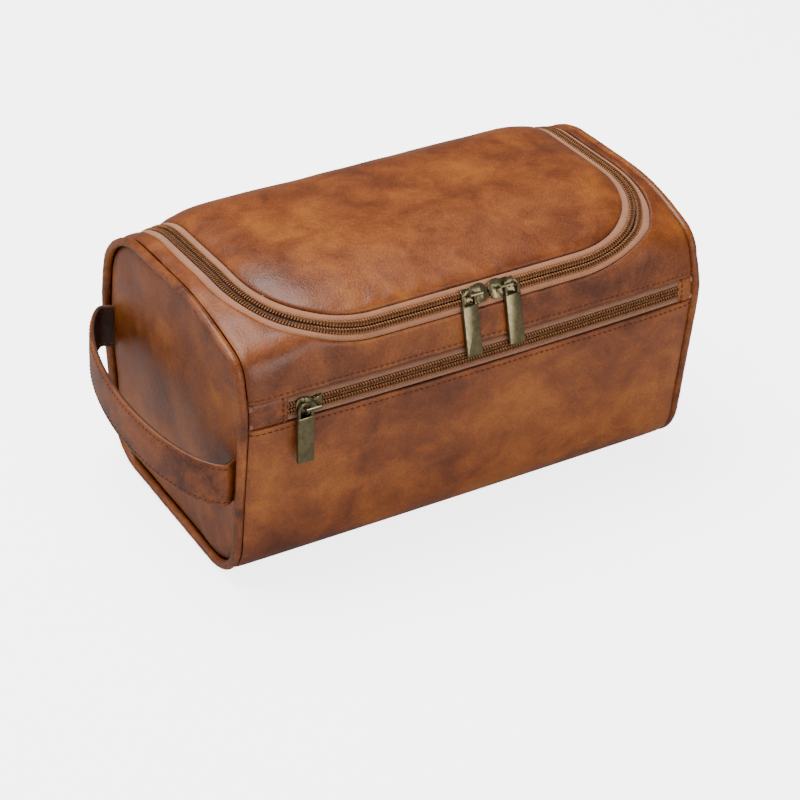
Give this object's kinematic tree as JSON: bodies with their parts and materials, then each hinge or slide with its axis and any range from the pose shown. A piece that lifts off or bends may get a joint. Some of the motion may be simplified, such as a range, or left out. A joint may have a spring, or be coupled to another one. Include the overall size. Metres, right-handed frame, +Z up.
{
  "type": "toiletry bag",
  "caption": "Soft leather toiletry bag with a zip-round lid, a zipped front pocket, piped ends and a bowed strap handle on one end.",
  "frame": {"origin": "centre of the flat base, on the surface that the bag stands on", "axes": "+X along the bag away from the handle end, -Y out of the front pocket, +Z up"},
  "size_m": [0.2981, 0.1693, 0.1541],
  "materials": {
    "leather": "mottled cognac leather, satin",
    "piping": "leather-covered cord, satin",
    "trim_leather": "thin leather with turned edges",
    "strap_leather": "double leather strap, stitched edges",
    "zip_tape": "woven tan tape",
    "zip_coil": "brown nylon coil",
    "antique_brass": "antique brass",
    "lining_cloth": "plain woven lining",
    "foam": "thin padding",
    "stiffener_board": "plain board"
  },
  "bodies": {
    "bag": {"front_panel": "leather", "front_yoke": "leather", "back_panel": "leather", "base_panel": "leather", "left_piping": "piping", "right_piping": "piping", "left_end_panel": "leather", "right_end_panel": "leather", "body_foam": "foam", "body_lining": "lining_cloth", "base_board": "stiffener_board", "pocket_pouch": "lining_cloth", "body_zip_tape": "zip_tape", "body_zip_coil": "zip_coil", "pocket_upper_tape": "zip_tape", "pocket_lower_tape": "zip_tape", "pocket_upper_coil": "zip_coil", "pocket_lower_coil": "zip_coil", "pocket_left_tab": "trim_leather", "pocket_right_tab": "trim_leather", "left_zip_cap": "trim_leather", "right_zip_cap": "trim_leather", "handle_front_end": "strap_leather", "handle_back_end": "strap_leather"},
    "lid": {"lid_panel": "leather", "lid_foam": "foam", "lid_lining": "lining_cloth", "lid_zip_tape": "zip_tape", "lid_zip_coil": "zip_coil"},
    "main_left_slider_body": {"main_left_slider": "antique_brass"},
    "main_left_puller_body": {"main_left_puller": "antique_brass"},
    "main_right_slider_body": {"main_right_slider": "antique_brass"},
    "main_right_puller_body": {"main_right_puller": "antique_brass"},
    "pocket_slider_body": {"pocket_slider": "antique_brass"},
    "pocket_puller_body": {"pocket_puller": "antique_brass"},
    "side_handle": {"side_handle_outer": "strap_leather", "side_handle_inner": "strap_leather"}
  },
  "joints": [
    {"name": "lid_hinge", "type": "hinge", "parent": "bag", "child": "lid", "pos_m": [0, 0.0769, 0.11554], "axis": [-1, 0, 0], "range_deg": [0, 110]},
    {"name": "main_left_slide", "type": "slide", "parent": "bag", "child": "main_left_slider_body", "axis": [1, 0, 0], "range_m": [-0.049, 0]},
    {"name": "main_right_slide", "type": "slide", "parent": "bag", "child": "main_right_slider_body", "axis": [1, 0, 0], "range_m": [0, 0.037]},
    {"name": "pocket_slide", "type": "slide", "parent": "bag", "child": "pocket_slider_body", "axis": [1, 0, 0], "range_m": [0, 0.208]},
    {"name": "main_left_pull", "type": "hinge", "parent": "main_left_slider_body", "child": "main_left_puller_body", "pos_m": [-0.0069, -0.07823, 0.14171], "axis": [-1, 0, 0], "range_deg": [0, 50]},
    {"name": "main_right_pull", "type": "hinge", "parent": "main_right_slider_body", "child": "main_right_puller_body", "pos_m": [0.0179, -0.07823, 0.14171], "axis": [-1, 0, 0], "range_deg": [0, 50]},
    {"name": "pocket_pull", "type": "hinge", "parent": "pocket_slider_body", "child": "pocket_puller_body", "pos_m": [-0.1015, -0.08492, 0.10909], "axis": [-1, 0, 0], "range_deg": [0, 24]},
    {"name": "handle_swing", "type": "hinge", "parent": "bag", "child": "side_handle", "pos_m": [-0.1399, 0.0015, 0.0725], "axis": [0, 0.9971, 0.0767], "range_deg": [-18, 18], "stiffness_Nm_per_rad": 0.12}
  ]
}
